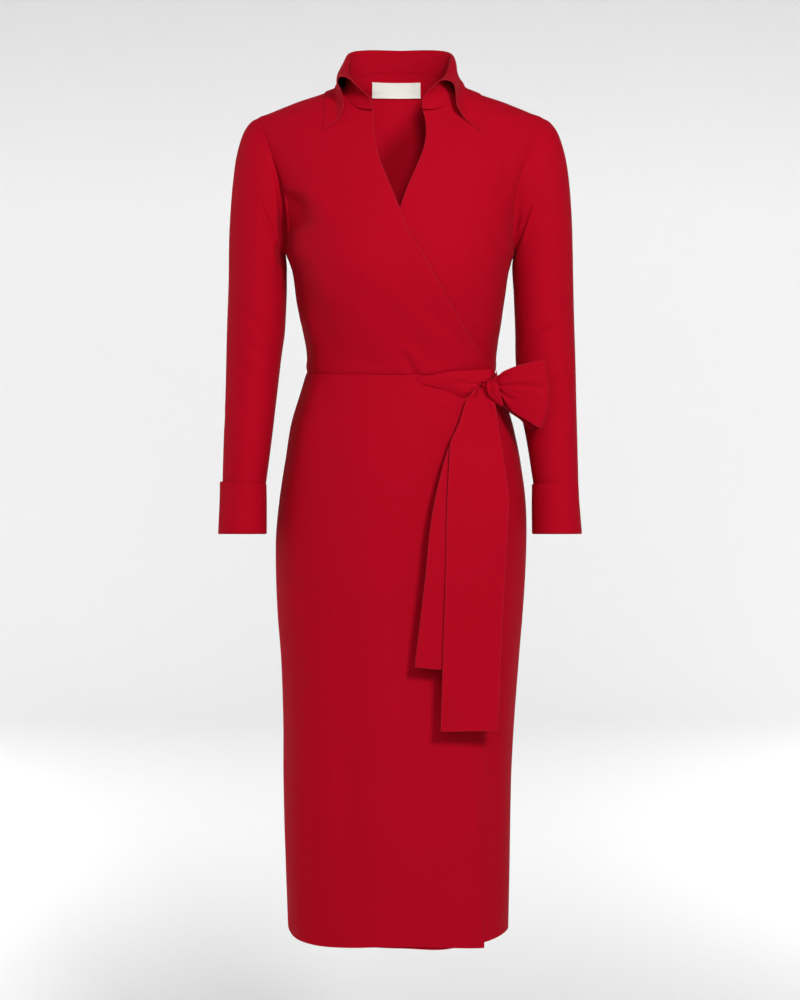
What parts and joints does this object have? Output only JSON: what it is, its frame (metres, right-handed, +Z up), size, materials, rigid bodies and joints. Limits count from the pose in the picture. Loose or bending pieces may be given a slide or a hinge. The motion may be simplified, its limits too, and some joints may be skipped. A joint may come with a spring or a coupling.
{
  "type": "wrap dress",
  "caption": "Long-sleeved midi wrap dress with a crossed front, pointed one-piece collar, cuffs, and a tie at the left waist with a loop and hanging ends.",
  "frame": {"origin": "between the wearer's shoulders, at the height of the neck points and the middle of the neck's depth, where the wearer's shoulders hold the dress", "axes": "+Z up, the front faces -Y, +X towards the wearer's left"},
  "size_m": [0.492, 0.2547, 1.1942],
  "materials": {
    "red_jersey": "smooth matte knit with a soft sheen at its edges",
    "label_satin": "plain woven satin, bare"
  },
  "bodies": {
    "root": {"bodice_front_over": "red_jersey", "bodice_front_under": "red_jersey", "bodice_back": "red_jersey", "collar": "red_jersey", "sleeve_head_right": "red_jersey", "sleeve_head_left": "red_jersey", "sleeve_right": "red_jersey", "sleeve_left": "red_jersey", "cuff_right": "red_jersey", "cuff_left": "red_jersey", "skirt_front_over": "red_jersey", "skirt_front_under": "red_jersey", "skirt_back": "red_jersey", "tie_band_over": "red_jersey", "tie_band_side": "red_jersey", "tie_knot": "red_jersey", "tie_loop": "red_jersey", "tie_tail_front": "red_jersey", "tie_tail_back": "red_jersey", "neck_label": "label_satin"}
  },
  "joints": []
}
